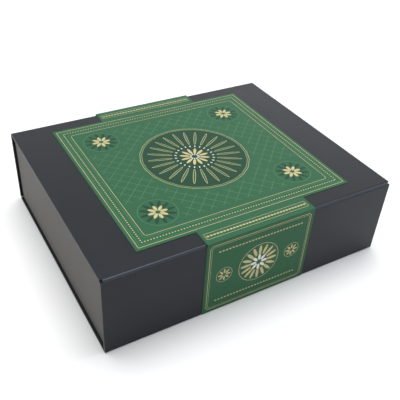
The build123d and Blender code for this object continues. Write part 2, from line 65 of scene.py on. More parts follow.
# %% Camera at the viewing angle of the picture
FRAME_PIXELS = 400
FOCAL_PIXELS = 578.55
camera_data = bpy.data.cameras.new("studio_camera")
camera_data.sensor_width = 36.0
camera_data.lens = FOCAL_PIXELS * camera_data.sensor_width / FRAME_PIXELS
camera = bpy.data.objects.new("studio_camera", camera_data)
scene.collection.objects.link(camera)
right = Vector((0.86436, -0.49976, 0.05586))
up = Vector((0.26203, 0.54241, 0.79821))
back = Vector((-0.42921, -0.67530, 0.59979))
turn = Matrix((right, up, back)).transposed()
camera.matrix_world = Matrix.Translation((-0.30605, -0.50012, 0.47560)) @ turn.to_4x4()
scene.camera = camera
print("lens", round(camera_data.lens, 2), "mm")

# %% [markdown]
# ## Small helpers
# Node trees are wired with one helper: it adds a node, sets its properties, and either links or
# fills each input. Materials and Geometry Nodes trees then read as short lists.


# %% Node helpers
def put(tree, kind, inputs=None, **settings):
    """Add a node, set its properties, and link or fill its inputs."""
    made = tree.nodes.new(kind)
    for key, value in settings.items():
        setattr(made, key, value)
    for key, value in (inputs or {}).items():
        if isinstance(value, bpy.types.NodeSocket):
            tree.links.new(value, made.inputs[key])
        else:
            made.inputs[key].default_value = value
    return made


def out(tree, kind, inputs=None, **settings):
    """First output of an added node."""
    return put(tree, kind, inputs, **settings).outputs[0]


def math_node(tree, operation, *values, **settings):
    """Output of a Math node on up to three values."""
    return out(tree, "ShaderNodeMath", dict(enumerate(values)), operation=operation, **settings)


def vector_node(tree, operation, *values):
    """Output of a Vector Math node that gives a vector."""
    return out(tree, "ShaderNodeVectorMath", dict(enumerate(values)), operation=operation)


def scaled(tree, vector, factor):
    """A vector times a number."""
    return out(tree, "ShaderNodeVectorMath", {0: vector, "Scale": factor}, operation="SCALE")


def distance(tree, operation, *values):
    """LENGTH of a vector, or DISTANCE between two."""
    made = put(tree, "ShaderNodeVectorMath", dict(enumerate(values)), operation=operation)
    return made.outputs["Value"]


def axes(tree, vector):
    """The three parts of a vector."""
    return put(tree, "ShaderNodeSeparateXYZ", {0: vector}).outputs


def vector_of(tree, parts):
    """Vector from its parts by axis number."""
    return out(tree, "ShaderNodeCombineXYZ", parts)


def mixed(tree, factor, colour_a, colour_b):
    """Colour mix by a mask."""
    made = put(tree, "ShaderNodeMix", {0: factor, 6: colour_a, 7: colour_b}, data_type="RGBA")
    return made.outputs[2]


VECTOR = "NodeSocketVector"
MATERIAL = "NodeSocketMaterial"


def socket_type(value):
    """Type of the socket for a default value; a string is the type itself."""
    if isinstance(value, str):
        return value
    if isinstance(value, tuple):
        return "NodeSocketColor" if len(value) == 4 else VECTOR
    return "NodeSocketInt" if isinstance(value, int) else "NodeSocketFloat"


def new_tree(kind, name, inputs, outputs):
    """Node group from its inputs' defaults and its outputs' types; returns it and its two ends."""
    tree = bpy.data.node_groups.new(name, kind)
    for socket, value in inputs.items():
        made = tree.interface.new_socket(
            name=socket, in_out="INPUT", socket_type=socket_type(value)
        )
        if not isinstance(value, str):
            made.default_value = value
    for socket, value in outputs.items():
        tree.interface.new_socket(name=socket, in_out="OUTPUT", socket_type=value)
    group_in = tree.nodes.new("NodeGroupInput")
    return tree, group_in.outputs, tree.nodes.new("NodeGroupOutput").inputs


# %% Mesh helpers
def mesh_object(name, points, faces, material, smooth=False):
    """Mesh piece in the scene, its normals pointing outward."""
    mesh = bpy.data.meshes.new(name)
    mesh.from_pydata([tuple(point) for point in points], [], faces)
    work = bmesh.new()
    work.from_mesh(mesh)
    bmesh.ops.recalc_face_normals(work, faces=work.faces)
    work.to_mesh(mesh)
    work.free()
    mesh.materials.append(material)
    mesh.polygons.foreach_set("use_smooth", [smooth] * len(mesh.polygons))
    made = bpy.data.objects.new(name, mesh)
    scene.collection.objects.link(made)
    return made


def ring_faces(rings, sides, closed=False):
    """Quads between rings of points; the ends are capped, or joined up when closed."""
    faces = []
    for number in range(rings if closed else rings - 1):
        a, b = number * sides, (number + 1) % rings * sides
        for i in range(sides):
            j = (i + 1) % sides
            faces.append((a + i, a + j, b + j, b + i))
    if not closed:
        faces += [tuple(range(sides)), tuple(range((rings - 1) * sides, rings * sides))]
    return faces


def circle(sides):
    """Cosine and sine of the turns round a circle."""
    turns = [math.tau * i / sides for i in range(sides)]
    return [(math.cos(turn), math.sin(turn)) for turn in turns]


def dress(node, material):
    """Give a CAD node its finish."""
    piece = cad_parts[node]
    if piece.material_slots:
        for slot in piece.material_slots:
            slot.material = material
    else:
        piece.data.materials.append(material)


# %% [markdown]
# ## Shared surface effects
# Paper, card, plastic, wood and metal all vary a little in colour, gloss and height. One group
# makes the three from a fine and a broad noise, so each material only states its own scale.

# %% Surface group: colour, roughness and relief from one grain
BROAD_SHARE = 0.02
G, surface_in, surface_out = new_tree(
    "ShaderNodeTree",
    "surface_grain",
    {
        "Vector": VECTOR,
        "Colour": (0.5, 0.5, 0.5, 1),
        "Roughness": 0.5,
        "Grain": 0.001,
        "Stretch": (1, 1, 1),
        "Variation": 0.1,
        "Relief": 0.00002,
        "Worn": 0.0,
        "Worn Colour": (0.5, 0.5, 0.5, 1),
    },
    {"Colour": "NodeSocketColor", "Roughness": "NodeSocketFloat", "Normal": VECTOR},
)
surface_group = G
stretched = vector_node(G, "MULTIPLY", surface_in["Vector"], surface_in["Stretch"])
frequency = math_node(G, "DIVIDE", 1.0, surface_in["Grain"])
broad_frequency = math_node(G, "MULTIPLY", frequency, BROAD_SHARE)
NOISE = "ShaderNodeTexNoise"
fine = out(G, NOISE, {"Vector": stretched, "Scale": frequency, "Detail": 3.0, "Roughness": 0.6})
broad = out(G, NOISE, {"Vector": surface_in["Vector"], "Scale": broad_frequency, "Detail": 2.0})
mottle = math_node(G, "ADD", math_node(G, "ADD", fine, broad), -1.0)
swing = math_node(G, "MULTIPLY", mottle, surface_in["Variation"])
tinted = scaled(G, surface_in["Colour"], math_node(G, "ADD", swing, 1.0))
worn = mixed(G, surface_in["Worn"], tinted, surface_in["Worn Colour"])
rough = math_node(G, "MULTIPLY_ADD", swing, 0.5, surface_in["Roughness"], use_clamp=True)
bump = {"Strength": 1.0, "Distance": surface_in["Relief"], "Height": fine}
G.links.new(worn, surface_out["Colour"])
G.links.new(rough, surface_out["Roughness"])
G.links.new(out(G, "ShaderNodeBump", bump), surface_out["Normal"])

# %% [markdown]
# Covered boards rub lighter along their edges. A point lies near an edge when it is close to two
# faces of the board's box at once, so the second smallest of its three depths makes the mask.

# %% Edge group: a mask along the edges of a box
G, edge_in, edge_out = new_tree(
    "ShaderNodeTree",
    "box_edge_wear",
    {
        "Vector": VECTOR,
        "Centre": (0, 0, 0),
        "Half Size": (1, 1, 1),
        "Width": 0.001,
        "Amount": 0.5,
    },
    {"Mask": "NodeSocketFloat"},
)
edge_group = G
from_centre = vector_node(G, "SUBTRACT", edge_in["Vector"], edge_in["Centre"])
reach = vector_node(G, "ABSOLUTE", from_centre)
depths = axes(G, vector_node(G, "SUBTRACT", edge_in["Half Size"], reach))
low = math_node(G, "MINIMUM", depths[0], depths[1])
high = math_node(G, "MAXIMUM", depths[0], depths[1])
second = math_node(G, "MAXIMUM", low, math_node(G, "MINIMUM", high, depths[2]))
nearness = math_node(G, "DIVIDE", second, edge_in["Width"])
patches = out(G, NOISE, {"Vector": edge_in["Vector"], "Scale": 180.0, "Detail": 4.0})
patchy = math_node(G, "MULTIPLY_ADD", patches, 1.2, -0.1)
fade = math_node(G, "SUBTRACT", 1.0, nearness, use_clamp=True)
patched = math_node(G, "MULTIPLY", fade, patchy)
G.links.new(math_node(G, "MULTIPLY", patched, edge_in["Amount"]), edge_out["Mask"])


# %% Start a material from the shared surface
def new_material(name, colour, roughness, grain, variation, relief, shader=None, stretch=(1, 1, 1)):
    """Principled material fed by the surface group; shader holds its own constant sockets."""
    material = bpy.data.materials.new(name)
    material.use_nodes = True
    tree = material.node_tree
    tree.nodes.clear()
    place = tree.nodes.new("ShaderNodeTexCoord").outputs["Object"]
    values = {
        "Vector": place,
        "Colour": (*colour, 1),
        "Roughness": roughness,
        "Grain": grain,
        "Variation": variation,
        "Relief": relief,
        "Stretch": stretch,
    }
    grained = put(tree, "ShaderNodeGroup", values, node_tree=surface_group)
    fed = {
        "Base Color": grained.outputs["Colour"],
        "Roughness": grained.outputs["Roughness"],
        "Normal": grained.outputs["Normal"],
    }
    surface = out(tree, "ShaderNodeBsdfPrincipled", {**fed, **(shader or {})})
    put(tree, "ShaderNodeOutputMaterial", {"Surface": surface})
    return material, tree, grained, place


def finish(name, *values, **shader_and_stretch):
    """A material that needs nothing but the shared surface."""
    return new_material(name, *values, **shader_and_stretch)[0]


# %% [markdown]
# ## Stage
# The object stands on a plain pale floor under soft light. A broad panel behind it on the right
# gives the lid its sheen, a low one at the left lifts the left ends, and a cool one at the front
# right catches the rolled edges. A broad soft light above whitens the floor. The sky is bright
# near the horizon, as a white room is, and dim overhead and towards the front.

# %% Floor and sky
FLOOR_HALF = 20.0
SKY_HORIZON = 1.25
SKY_ZENITH = 0.10
FRONT_SHARE = 0.45
corners = [(x * FLOOR_HALF, y * FLOOR_HALF, 0) for x, y in ((-1, -1), (1, -1), (1, 1), (-1, 1))]
floor_material = finish("floor_paper", (0.86, 0.86, 0.86), 0.9, 0.01, 0.01, 0.0)
floor = mesh_object("studio_floor", corners, [(0, 1, 2, 3)], floor_material)
world = bpy.data.worlds.new("studio_sky")
world.use_nodes = True
sky = world.node_tree
background = sky.nodes["Background"]
directions = axes(sky, put(sky, "ShaderNodeTexCoord").outputs["Generated"])


def ramp(value, low_in, high_in, low_out, high_out):
    """Smooth change of the sky's strength between two values."""
    names = ("Value", "From Min", "From Max", "To Min", "To Max")
    values = dict(zip(names, (value, low_in, high_in, low_out, high_out)))
    return out(sky, "ShaderNodeMapRange", values, interpolation_type="SMOOTHSTEP")


fall = ramp(directions[2], 0.30, 0.88, SKY_HORIZON, SKY_ZENITH)
depth = ramp(directions[1], -0.7, 0.4, FRONT_SHARE, 1.0)
sky.links.new(math_node(sky, "MULTIPLY", fall, depth), background.inputs["Strength"])
background.inputs["Color"].default_value = (0.97, 0.985, 1.0, 1)
scene.world = world


# %% Lights
def softbox(name, place, aim, size, power):
    """Square area light at a place, turned towards a point."""
    data = bpy.data.lights.new(name, "AREA")
    data.shape = "SQUARE"
    data.size = size
    data.energy = power
    lamp = bpy.data.objects.new(name, data)
    scene.collection.objects.link(lamp)
    facing = (Vector(aim) - Vector(place)).to_track_quat("-Z", "Y")
    lamp.matrix_world = Matrix.Translation(place) @ facing.to_matrix().to_4x4()
    return lamp


softbox("sheen_panel", (1.75, 1.6, 0.85), (0.1, 0.0, 0.1), 1.3, 2.5)
softbox("left_panel", (-0.90, 0.72, 0.22), (-0.18, 0.14, 0.05), 0.4, 2.4)
cool_panel = softbox("cool_panel", (1.5, -0.55, 0.95), (0.1, -0.1, 0.05), 0.7, 5)
cool_panel.data.color = (0.72, 0.82, 1.0)
ceiling_data = bpy.data.lights.new("ceiling", "SUN")
ceiling_data.energy = 3.0
ceiling_data.angle = math.radians(50)
ceiling = bpy.data.objects.new("ceiling", ceiling_data)
ceiling.rotation_euler = (math.radians(-7), math.radians(4), 0)
scene.collection.objects.link(ceiling)

# %% [markdown]
# ## Case papers
# Four grey boards are wrapped in matte anthracite paper. Its fibres show as a very fine relief,
# and the turned edges have rubbed a little lighter. The CAD panels already have the right shape,
# so they keep it and only get this finish, each with the edge mask of its own box.

# %% Cover and lining papers on the boards
PAPER = (0.0062, 0.0066, 0.0090)
COOL = (0.82, 0.92, 1.0, 1)
PAPER_WORN = (0.06, 0.061, 0.066, 1)
PAPER_SHEEN = {"Specular IOR Level": 0.3, "Specular Tint": COOL}


def cover_paper(node):
    """Anthracite paper with wear along the edges of one panel."""
    low_corner, high_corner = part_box(node)
    material, tree, grained, place = new_material(
        f"{node}_paper", PAPER, 0.42, 0.0005, 0.22, 0.00006, PAPER_SHEEN
    )
    edges = {
        "Vector": place,
        "Centre": (low_corner + high_corner) / 2,
        "Half Size": (high_corner - low_corner) / 2,
        "Width": 0.0007,
        "Amount": 0.55,
    }
    mask = out(tree, "ShaderNodeGroup", edges, node_tree=edge_group)
    tree.links.new(mask, grained.inputs["Worn"])
    grained.inputs["Worn Colour"].default_value = PAPER_WORN
    dress(node, material)


PANELS = ("base", "spine", "lid", "flap")
lining = finish("lining_paper", (0.015, 0.016, 0.019), 0.62, 0.0006, 0.2, 0.00004)
greyboard = finish("greyboard_core", (0.40, 0.39, 0.36), 0.9, 0.0012, 0.3, 0.0001)
tray_paper = finish("tray_paper", (0.064, 0.060, 0.054), 0.7, 0.0006, 0.16, 0.00004)
for panel in PANELS:
    cover_paper(f"{panel}_cover")
    dress(f"{panel}_board", greyboard)
dress("tray_board", greyboard)
dress("lid_liner", lining)
dress("flap_liner", lining)
dress("tray_wrap", tray_paper)
print("papers on", len(PANELS), "panels")

# %% [markdown]
# ## Hinge papers
# Between two boards the cover paper runs on alone, as a soft quarter roll sunk in the corner. Its
# colour is painted lighter and bluer than the cover paper's, as a painted highlight along the roll.
# Each of the two at the lid is a strip of paper drawn as a section and stretched along the box, in
# the place of its CAD solid; the one at the base keeps its CAD solid.

# %% Bending hinge strips
HINGE_HALF_W = 177.0 * MM
ROLL_R = 2.4 * MM
ROLL_T = 0.4 * MM
ROLL_STEPS = 20
AXIS_Z = 97.35 * MM
AXIS_Y = 142.0 * MM
HINGE_SHEEN = {"Specular IOR Level": 0.5, "Specular Tint": COOL}
# Painted highlight: the hinge paper is the anthracite cover paper made lighter and bluer, standing
# in for light along the roll.
HINGE_PAPER_PAINTED_HIGHLIGHT = (0.027, 0.030, 0.042)
hinge_paper_painted_highlight = finish("hinge_paper_painted_highlight", HINGE_PAPER_PAINTED_HIGHLIGHT, 0.4, 0.0005, 0.22, 0.00006, HINGE_SHEEN)


def section_strip(name, outer, inner, half_w, material):
    """Closed strip along X from an outer and an inner line of (y, z) points."""
    loop = outer + inner[::-1]
    count, half = len(loop), len(outer)
    points = [(x, y, z) for x in (-half_w, half_w) for y, z in loop]
    faces = ring_faces(2, count)[:count]
    for first in (0, count):
        last = first + count - 1
        faces += [(first + i, first + i + 1, last - 1 - i, last - i) for i in range(half - 1)]
    return mesh_object(name, points, faces, material)


def quarter(radius, side):
    """Quarter circle from the top face to the outer face, about a corner line."""
    turns = [math.pi / 2 * i / ROLL_STEPS for i in range(ROLL_STEPS + 1)]
    return [
        (side * (AXIS_Y + radius * math.sin(turn)), AXIS_Z + radius * math.cos(turn))
        for turn in turns
    ]


HINGES = (("lid_hinge", 1, "lid", "box"), ("flap_hinge", -1, "lid", "flap"))
for name, side, body_a, body_b in HINGES:
    outer, inner = quarter(ROLL_R, side), quarter(ROLL_R - ROLL_T, side)
    strip = section_strip(f"{name}_paper", outer, inner, HINGE_HALF_W, hinge_paper_painted_highlight)
    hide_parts(name)
    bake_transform(strip)
dress("base_hinge", hinge_paper_painted_highlight)
print("hinge strips", ROLL_STEPS, "facets round each")

# %% [markdown]
# ## Printed band
# A green card band runs round the case. Its four CAD panels keep their shape. Their card is matte
# coated, with a slight cloudiness from the ink.

# %% Card of the band
GREEN = (0.023, 0.103, 0.047)
DARK_GREEN = (0.009, 0.050, 0.024)
PALE_GREEN = (0.085, 0.205, 0.100)
CREAM = (0.50, 0.44, 0.22)
WHITE = (0.70, 0.71, 0.64)
CARD_SHEEN = {"Specular IOR Level": 0.16}
card = finish("band_card", GREEN, 0.5, 0.0004, 0.08, 0.00001, CARD_SHEEN)
for panel in PANELS:
    dress(f"{panel}_band", card)

# %% [markdown]
# The CAD panels part at the creases so that they can turn. The card itself runs on over the edge,
# so a narrow creased strip closes each gap.

# %% Creased strips over the edges
BAND_HALF_W = 68.0 * MM
CASE_TOP = 100.35 * MM
CASE_BOTTOM = 0.35 * MM
CASE_HALF_D = 145.0 * MM
BAND_T = 0.35 * MM
BAND_OUT = CASE_HALF_D + BAND_T
CREASE_GAP = 0.7 * MM
CREASE_LAP = 0.05 * MM
BEND = 0.15 * MM


def crease(name, side, face_z, up, stop_z, body_a, body_b):
    """Card strip from the level panel over the edge to the upright panel."""
    flat_y = CASE_HALF_D - CREASE_GAP
    out_z = face_z + up * BAND_T
    outer = [(flat_y, out_z), (BAND_OUT - BEND, out_z)]
    outer += [(BAND_OUT - BEND / 3, out_z - up * BEND / 3)]
    outer += [(BAND_OUT, out_z - up * BEND), (BAND_OUT, stop_z)]
    inner = [(flat_y, face_z), (CASE_HALF_D - BEND, face_z), (CASE_HALF_D, face_z)]
    inner += [(CASE_HALF_D, z - up * BEND / 3) for z in (face_z, stop_z)]
    outer, inner = ([(side * y, z) for y, z in row] for row in (outer, inner))
    strip = section_strip(name, outer, inner, BAND_HALF_W, card)
    if body_a == body_b:
        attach(strip, body_a)
    else:
        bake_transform(strip)


crease("front_crease", -1, CASE_TOP, 1, CASE_TOP - CREASE_LAP, "lid", "flap")
crease("back_crease", 1, CASE_TOP, 1, CASE_TOP - CREASE_GAP, "lid", "box")
crease("foot_crease", 1, CASE_BOTTOM, -1, CASE_BOTTOM + CREASE_GAP, "box", "box")
print("creases made")

# %% [markdown]
# ## Ornament on the band
# The print is cream and pale green line work on green. It could be a pattern in the material, but
# fine lines stay crisper as thin foil laid on the card, a few hundredths of a millimetre high.
# Frames are rings of quads. Dots, petals and the lattice repeat, so Geometry Nodes place them.
# Every size of the print below is in millimetres.

# %% Foil materials and the faces they lie on
RISE = 0.05 * MM
CREAM_SHEEN = {"Specular IOR Level": 0.25}
cream_foil = finish("cream_print", CREAM, 0.42, 0.0003, 0.12, 0.0, CREAM_SHEEN)
pale_foil = finish("pale_green_print", PALE_GREEN, 0.5, 0.0003, 0.1, 0.0, CARD_SHEEN)
white_foil = finish("white_print", WHITE, 0.45, 0.0003, 0.06, 0.0)
dark_foil = finish("dark_green_print", DARK_GREEN, 0.5, 0.0004, 0.1, 0.0, CARD_SHEEN)
PANEL_FOOT = 0.85
FLAP_MID = (CASE_TOP / MM + PANEL_FOOT) / 2
SPINE_MID = 50.35
SPINE_HALF = 49.3
QUARTER_X = Matrix.Rotation(math.pi / 2, 4, "X")
HALF_X = Matrix.Rotation(math.pi, 4, "X")
HALF_Z = Matrix.Rotation(math.pi, 4, "Z")
FACES = {
    "lid": (Matrix.Translation((0, 0, CASE_TOP + BAND_T)), "lid"),
    "flap": (Matrix.Translation((0, -BAND_OUT, FLAP_MID * MM)) @ QUARTER_X, "flap"),
    "spine": (Matrix.Translation((0, BAND_OUT, SPINE_MID * MM)) @ HALF_Z @ QUARTER_X, "box"),
    "base": (Matrix.Translation((0, 0, RISE)) @ HALF_X, "box"),
}


def lay_print(piece, face):
    """Lay a flat ornament on a face of the band and let it ride there."""
    matrix, body = FACES[face]
    piece.data.transform(matrix)
    piece.data.update()
    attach(piece, body)


def rounded(half_w, half_d, radius, steps=6):
    """Points round a rectangle with rounded corners."""
    points = []
    for first, (side_x, side_y) in enumerate(((1, 1), (-1, 1), (-1, -1), (1, -1))):
        for step in range(steps + 1):
            turn = (first + step / steps) * math.pi / 2
            x = side_x * (half_w - radius) + radius * math.cos(turn)
            points.append((x, side_y * (half_d - radius) + radius * math.sin(turn)))
    return points


def frame_lines(name, face, frames, material):
    """Closed printed lines; each is centre x, y, half width, half depth, corner and thickness."""
    points, faces = [], []
    for frame_sizes in frames:
        x0, y0, half_w, half_d, corner, line = (size * MM for size in frame_sizes)
        outer = rounded(half_w, half_d, corner)
        inner = rounded(half_w - line, half_d - line, max(corner - line, line / 10))
        start = len(points)
        for ring, z in ((outer, -RISE), (outer, RISE), (inner, RISE), (inner, -RISE)):
            points += [(x0 + x, y0 + y, z) for x, y in ring]
        faces += [[start + i for i in quad] for quad in ring_faces(4, len(outer), closed=True)]
    lay_print(mesh_object(name, points, faces, material), face)


def rings(name, face, radii, material, centre=(0, 0)):
    """Printed circles; each is a radius and a line."""
    frames = [(*centre, radius, radius, radius * 0.999, line) for radius, line in radii]
    frame_lines(name, face, frames, material)


def disc_print(name, face, radius, material, sides=96):
    """Filled printed round in the middle of a face."""
    edge = [(radius * MM * x, radius * MM * y) for x, y in circle(sides)]
    points = [(x, y, z) for z in (-RISE, RISE) for x, y in edge]
    lay_print(mesh_object(name, points, ring_faces(2, sides), material), face)


# %% Geometry Nodes helpers
def grow(name, tree, values, smooth=False):
    """Run a tree on an empty mesh, with inputs set by identifier, and keep the plain mesh."""
    piece = bpy.data.objects.new(name, bpy.data.meshes.new(name))
    scene.collection.objects.link(piece)
    modifier = piece.modifiers.new("grow", "NODES")
    modifier.node_group = tree
    for item in tree.interface.items_tree:
        if item.item_type == "SOCKET" and item.in_out == "INPUT" and item.name in values:
            modifier[item.identifier] = values[item.name]
    piece.update_tag()
    graph = bpy.context.evaluated_depsgraph_get()
    mesh = bpy.data.meshes.new_from_object(piece.evaluated_get(graph))
    piece.modifiers.remove(modifier)
    piece.data = mesh
    mesh.name = name
    mesh.polygons.foreach_set("use_smooth", [smooth] * len(mesh.polygons))
    return piece


def grow_print(name, face, tree, values, material, centre=(0, 0), lift=0):
    """Grow a flat ornament and lay it on a face, lifted by a number of foil heights."""
    place = (centre[0] * MM, centre[1] * MM, lift * RISE)
    common = {"Rise": 2 * RISE, "Centre": place, "Material": material}
    lay_print(grow(name, tree, {**values, **common}), face)


def geometry_tree(name, inputs):
    """Geometry Nodes tree with one geometry output."""
    outputs = {"Geometry": "NodeSocketGeometry"}
    return new_tree("GeometryNodeTree", name, {**inputs, "Material": MATERIAL}, outputs)


def transformed(tree, geometry, **change):
    """Geometry moved, turned or scaled."""
    inputs = {"Geometry": geometry, **{key.title(): value for key, value in change.items()}}
    return out(tree, "GeometryNodeTransform", inputs)


def instanced(tree, points, item, **more):
    """One item on every point."""
    inputs = {"Points": points, "Instance": item, **{key.title(): more[key] for key in more}}
    return out(tree, "GeometryNodeInstanceOnPoints", inputs)


def cylinder(tree, vertices, radius, depth):
    """Upright cylinder mesh."""
    inputs = {"Vertices": vertices, "Radius": radius, "Depth": depth}
    return out(tree, "GeometryNodeMeshCylinder", inputs)


def round_points(tree, count, radius):
    """Points round a centre, and the turn that faces each outward."""
    ring = out(tree, "GeometryNodeMeshCircle", {"Vertices": count, "Radius": radius})
    where = out(tree, "GeometryNodeInputPosition")
    return ring, out(tree, "FunctionNodeAlignEulerToVector", {"Vector": where}, axis="X")


def row_points(tree, length, count):
    """Points on a line along X, with its middle at the origin."""
    half = math_node(tree, "MULTIPLY", length, 0.5)
    first = vector_of(tree, {0: math_node(tree, "MULTIPLY", half, -1.0)})
    ends = {"Count": count, "Start Location": first, "Offset": vector_of(tree, {0: half})}
    return out(tree, "GeometryNodeMeshLine", ends, mode="END_POINTS")


def finish_tree(tree, group_in, group_out, geometry, place=None):
    """End a tree: move all to the named place, then Realize Instances and Set Material."""
    if place:
        geometry = transformed(tree, geometry, translation=group_in[place])
    real = out(tree, "GeometryNodeRealizeInstances", {0: geometry})
    dressing = {"Geometry": real, "Material": group_in["Material"]}
    tree.links.new(out(tree, "GeometryNodeSetMaterial", dressing), group_out[0])


# %% Dots round a rectangle
FLAT = {"Rise": 0.0001, "Centre": (0, 0, 0)}
T, dots_in, dots_out = geometry_tree(
    "dots_round_frame", {"Width": 0.1, "Depth": 0.1, "Count": 10, "Radius": 0.0005, **FLAT}
)
dots_tree = T
rectangle = {"Width": dots_in["Width"], "Height": dots_in["Depth"]}
outline = out(T, "GeometryNodeCurvePrimitiveQuadrilateral", rectangle)
spaced = out(T, "GeometryNodeResampleCurve", {"Curve": outline, "Count": dots_in["Count"]})
dot = cylinder(T, 10, dots_in["Radius"], dots_in["Rise"])
finish_tree(T, dots_in, dots_out, instanced(T, spaced, dot), "Centre")


def dotted_frame(name, face, width, depth, pitch, radius, material):
    """Row of dots round a rectangle on one face."""
    count = round(2 * (width + depth) / pitch)
    values = {"Width": width * MM, "Depth": depth * MM, "Count": count, "Radius": radius * MM}
    grow_print(name, face, dots_tree, values, material)


# %% Rosette of petals round a centre
PETAL_SIDES = 18
T, petal_in, petal_out = geometry_tree(
    "petals_round_centre",
    {"Count": 12, "Ring Radius": 0.03, "Petal Length": 0.02, "Petal Width": 0.006, **FLAT},
)
petal_tree = T
ring, facing = round_points(T, petal_in["Count"], petal_in["Ring Radius"])
disc = cylinder(T, PETAL_SIDES, 0.5, petal_in["Rise"])
shape = vector_of(T, {0: petal_in["Petal Length"], 1: petal_in["Petal Width"], 2: 1.0})
placed = instanced(T, ring, transformed(T, disc, scale=shape), rotation=facing)
finish_tree(T, petal_in, petal_out, placed, "Centre")


def petals(name, face, count, ring_radius, length, width, material, centre=(0, 0), lift=0):
    """Ring of petals on one face."""
    values = {"Count": count, "Ring Radius": ring_radius * MM}
    values |= {"Petal Length": length * MM, "Petal Width": width * MM}
    grow_print(name, face, petal_tree, values, material, centre, lift)


# %% Lattice of crossing lines with clear rounds
T, lattice_in, lattice_out = geometry_tree(
    "diamond_lattice",
    {
        "Pitch": 0.012,
        "Lines": 20,
        "Half Width": 0.1,
        "Half Depth": 0.1,
        "Clear Radius": 0.06,
        "Corner Radius": 0.02,
        "Corner": (0.08, 0.07, 0),
        "Line": 0.0003,
        "Rise": 0.0001,
    },
)
lattice_tree = T
lines = lattice_in["Lines"]
span = math_node(T, "MULTIPLY", lattice_in["Pitch"], math_node(T, "SUBTRACT", lines, 1))
grid = out(T, "GeometryNodeMeshGrid", {0: span, 1: span, 2: lines, 3: lines})
turned = transformed(T, grid, rotation=(0, 0, math.pi / 4))
point = out(T, "GeometryNodeInputPosition")
size = vector_node(T, "ABSOLUTE", point)
parts = axes(T, size)
wide = math_node(T, "GREATER_THAN", parts[0], lattice_in["Half Width"])
deep = math_node(T, "GREATER_THAN", parts[1], lattice_in["Half Depth"])
inside = math_node(T, "LESS_THAN", distance(T, "LENGTH", point), lattice_in["Clear Radius"])
from_corner = distance(T, "DISTANCE", size, lattice_in["Corner"])
cornered = math_node(T, "LESS_THAN", from_corner, lattice_in["Corner Radius"])
past_edge, in_round = math_node(T, "MAXIMUM", wide, deep), math_node(T, "MAXIMUM", inside, cornered)
cleared = {"Geometry": turned, "Selection": math_node(T, "MAXIMUM", past_edge, in_round)}
kept = out(T, "GeometryNodeDeleteGeometry", cleared, domain="POINT")
bar = vector_of(T, {0: lattice_in["Pitch"], 1: lattice_in["Line"], 2: lattice_in["Rise"]})
stick = out(T, "GeometryNodeMeshCube", {"Size": bar})
cross = put(T, "GeometryNodeJoinGeometry")
for angle in (math.pi / 4, -math.pi / 4):
    T.links.new(transformed(T, stick, rotation=(0, 0, angle)), cross.inputs[0])
finish_tree(T, lattice_in, lattice_out, instanced(T, kept, cross.outputs[0]))

# %% [markdown]
# The lid's ornament is a plain one of its own: frames and a row of dots round the square, a
# diamond lattice over the field, a rosette in the middle and a small flower near each corner.

# %% Ornament of the lid
SQUARE_W = 134.0
SQUARE_D = 123.0
FLOWER_X = 88
FLOWER_Y = 77


def inset_frame(inset, line, corner=1.0):
    """A printed line inside the edge of the square."""
    return (0, 0, SQUARE_W - inset, SQUARE_D - inset, corner, line)


bold = [inset_frame(3.5, 0.6), inset_frame(17, 0.5, 4)]
faint = [inset_frame(6, 0.4), inset_frame(14.5, 0.4, 3)]
frame_lines("lid_frame_print", "lid", bold, cream_foil)
frame_lines("lid_inner_frame_print", "lid", faint, pale_foil)
DOT_INSET = 10.2
dots_w, dots_d = 2 * (SQUARE_W - DOT_INSET), 2 * (SQUARE_D - DOT_INSET)
dotted_frame("lid_dots_print", "lid", dots_w, dots_d, 3.4, 0.8, cream_foil)
lattice_sizes = {
    "Pitch": 11 * MM,
    "Lines": 33,
    "Half Width": 112 * MM,
    "Half Depth": 101 * MM,
    "Clear Radius": 71 * MM,
    "Corner Radius": 29 * MM,
    "Corner": (FLOWER_X * MM, FLOWER_Y * MM, 0),
    "Line": 0.5 * MM,
}
grow_print("lid_lattice_print", "lid", lattice_tree, lattice_sizes, pale_foil)
disc_print("lid_ground_print", "lid", 62, dark_foil)
for word, count, ring_radius, length, width, foil, lift in (
    ("leaf", 24, 42, 30, 3.4, cream_foil, 1),
    ("vein", 24, 42, 27.5, 2.2, card, 2),
    ("bud", 24, 23, 3, 1.6, white_foil, 1),
    ("petal", 12, 12, 12, 3.6, cream_foil, 1),
    ("heart", 12, 5, 3.4, 1.4, white_foil, 1),
):
    petals(f"lid_{word}_print", "lid", count, ring_radius, length, width, foil, lift=lift)
rings("lid_ring_print", "lid", [(66, 0.5), (63.6, 0.3)], cream_foil)
for number, (side_x, side_y) in enumerate(((-1, -1), (1, -1), (1, 1), (-1, 1)), start=1):
    centre = (side_x * FLOWER_X, side_y * FLOWER_Y)
    petals(f"lid_flower_{number}_leaf_print", "lid", 12, 14, 12, 4, dark_foil, centre)
    petals(f"lid_flower_{number}_petal_print", "lid", 8, 7, 9, 3.6, cream_foil, centre, 1)
    rings(f"lid_flower_{number}_ring_print", "lid", [(22, 0.5)], pale_foil, centre)
print("lid ornament laid")

# %% [markdown]
# The narrow strips over the front and the back carry a row of small lozenges between two lines,
# and the upright panels a plain double frame round a smaller rosette.

# %% Lozenge rows
T, row_in, row_out = geometry_tree(
    "row_of_lozenges", {"Length": 0.1, "Count": 20, "Size": 0.002, "Stretch": 1.6, **FLAT}
)
row_tree = T
lozenge = cylinder(T, 4, row_in["Size"], row_in["Rise"])
long = vector_of(T, {0: row_in["Stretch"], 1: 1.0, 2: 1.0})
row = row_points(T, row_in["Length"], row_in["Count"])
placed = instanced(T, row, transformed(T, lozenge, scale=long))
finish_tree(T, row_in, row_out, placed, "Centre")


def lozenges(name, face, length, count, size, material, centre, stretch=1.6):
    """Row of lozenges along X on one face."""
    values = {"Length": length * MM, "Count": count, "Size": size * MM, "Stretch": stretch}
    grow_print(name, face, row_tree, values, material, centre)


